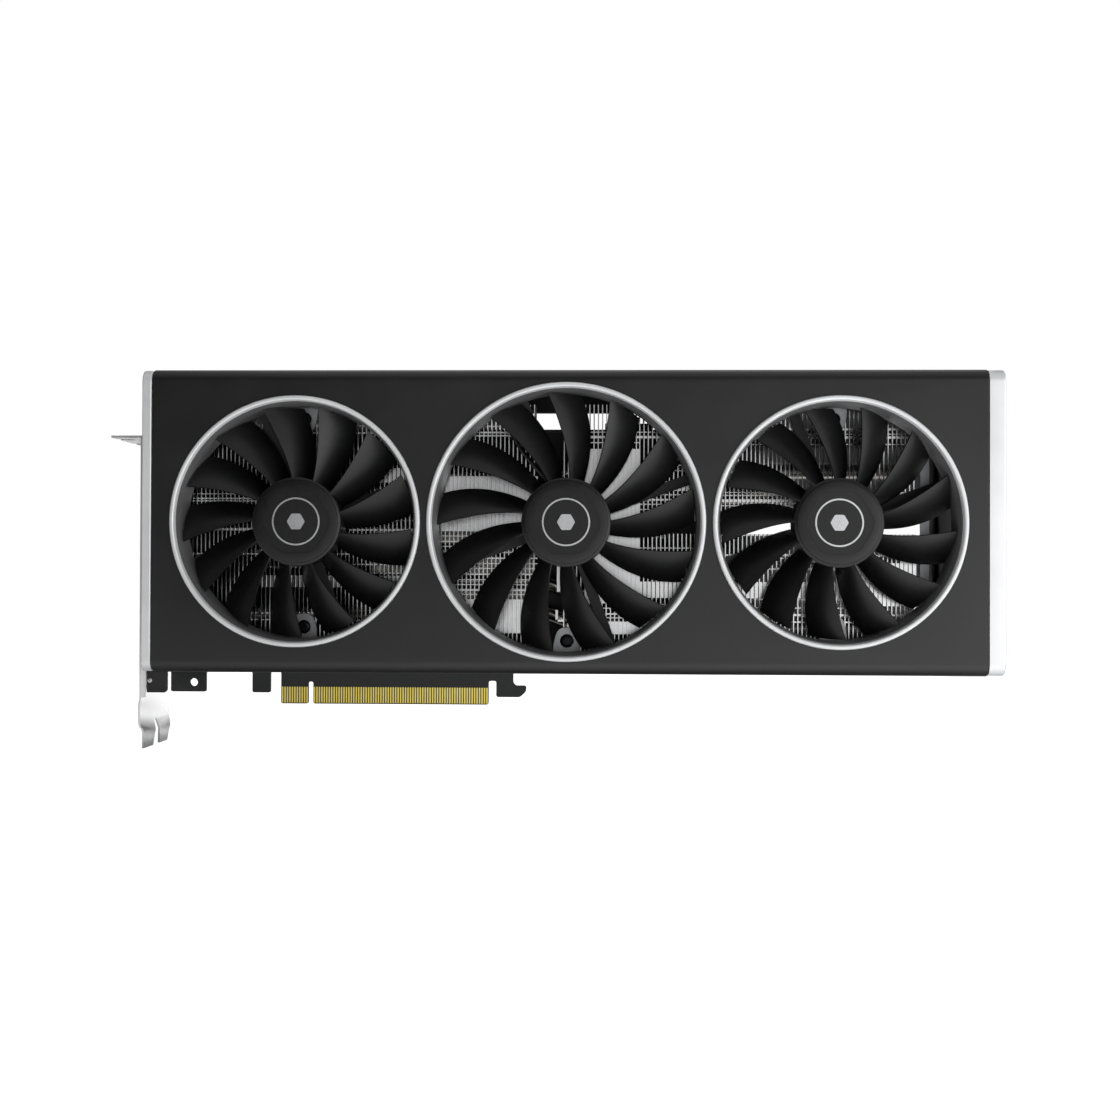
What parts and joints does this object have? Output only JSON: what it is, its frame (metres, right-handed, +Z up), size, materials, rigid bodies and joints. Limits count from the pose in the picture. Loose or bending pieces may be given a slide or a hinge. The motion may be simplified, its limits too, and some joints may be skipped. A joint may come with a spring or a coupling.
{
  "type": "graphics card",
  "caption": "Fan-cooled graphics card: board with card edge, finned cooler with three fans in a black shroud with silver rings, backplate and slot bracket.",
  "frame": {"origin": "middle of the card edge connector at its lower edge, in the mid-plane of the board", "axes": "+X along the card away from the bracket, +Z up away from the slot, -Y is the side with the fans"},
  "size_m": [0.3375, 0.0552, 0.1439],
  "materials": {
    "shroud_black": "matte moulded black plastic",
    "fan_black": "satin moulded black plastic",
    "silver_trim": "satin silver paint",
    "fin_aluminium": "bare rolled aluminium",
    "pipe_nickel": "nickel plated copper",
    "steel": "zinc plated steel",
    "copper": "enamelled copper winding",
    "board_black": "black solder mask",
    "chip_black": "moulded epoxy",
    "silicon": "polished silicon",
    "pad_grey": "soft thermal pad",
    "black_metal": "black powder coat",
    "cable_black": "black insulation"
  },
  "bodies": {
    "card": {"shroud": "shroud_black", "trim_left": "silver_trim", "trim_right": "silver_trim", "ring_left": "silver_trim", "ring_middle": "silver_trim", "ring_right": "silver_trim", "top_bar": "black_metal", "cooler_frame": "black_metal", "backplate": "black_metal", "bracket_foot": "black_metal", "stator_left": "copper", "fan_frame_left": "shroud_black", "fan_cable_left": "cable_black", "stator_middle": "copper", "fan_frame_middle": "shroud_black", "fan_cable_middle": "cable_black", "stator_right": "copper", "fan_frame_right": "shroud_black", "fan_cable_right": "cable_black", "fan_header": "shroud_black", "fins_left": "fin_aluminium", "fins_right_lower": "fin_aluminium", "fins_right_upper": "fin_aluminium", "capacitors": "fin_aluminium", "heatpipe_1": "pipe_nickel", "heatpipe_2": "pipe_nickel", "heatpipe_3": "pipe_nickel", "heatpipe_4": "pipe_nickel", "heatpipe_5": "pipe_nickel", "cold_plate": "pipe_nickel", "pcb": "board_black", "gpu_package": "board_black", "gpu_die": "silicon", "memory_left": "chip_black", "memory_right": "chip_black", "memory_top": "chip_black", "inductors": "chip_black", "thermal_pad": "pad_grey", "power_socket_left": "fan_black", "power_socket_right": "fan_black", "switch_body": "steel", "bracket": "steel", "spring_plate": "steel", "spring_screw_1": "steel", "video_port_1": "steel", "spring_screw_2": "steel", "video_port_2": "steel", "spring_screw_3": "steel", "video_port_3": "steel", "spring_screw_4": "steel", "video_port_4": "steel"},
    "fan_left": {"rotor_left": "fan_black", "shaft_left": "steel"},
    "fan_middle": {"rotor_middle": "fan_black", "shaft_middle": "steel"},
    "fan_right": {"rotor_right": "fan_black", "shaft_right": "steel"},
    "bios_switch": {"switch_slider": "fan_black"}
  },
  "joints": [
    {"name": "fan_left_spin", "type": "hinge", "parent": "card", "child": "fan_left", "pos_m": [-0.0271, -0.046, 0.0722], "axis": [0, -1, 0], "continuous": true},
    {"name": "fan_middle_spin", "type": "hinge", "parent": "card", "child": "fan_middle", "pos_m": [0.0744, -0.046, 0.0722], "axis": [0, -1, 0], "continuous": true},
    {"name": "fan_right_spin", "type": "hinge", "parent": "card", "child": "fan_right", "pos_m": [0.176, -0.046, 0.0722], "axis": [0, -1, 0], "continuous": true},
    {"name": "bios_switch_slide", "type": "slide", "parent": "card", "child": "bios_switch", "axis": [1, 0, 0], "range_m": [0, 0.002]}
  ]
}
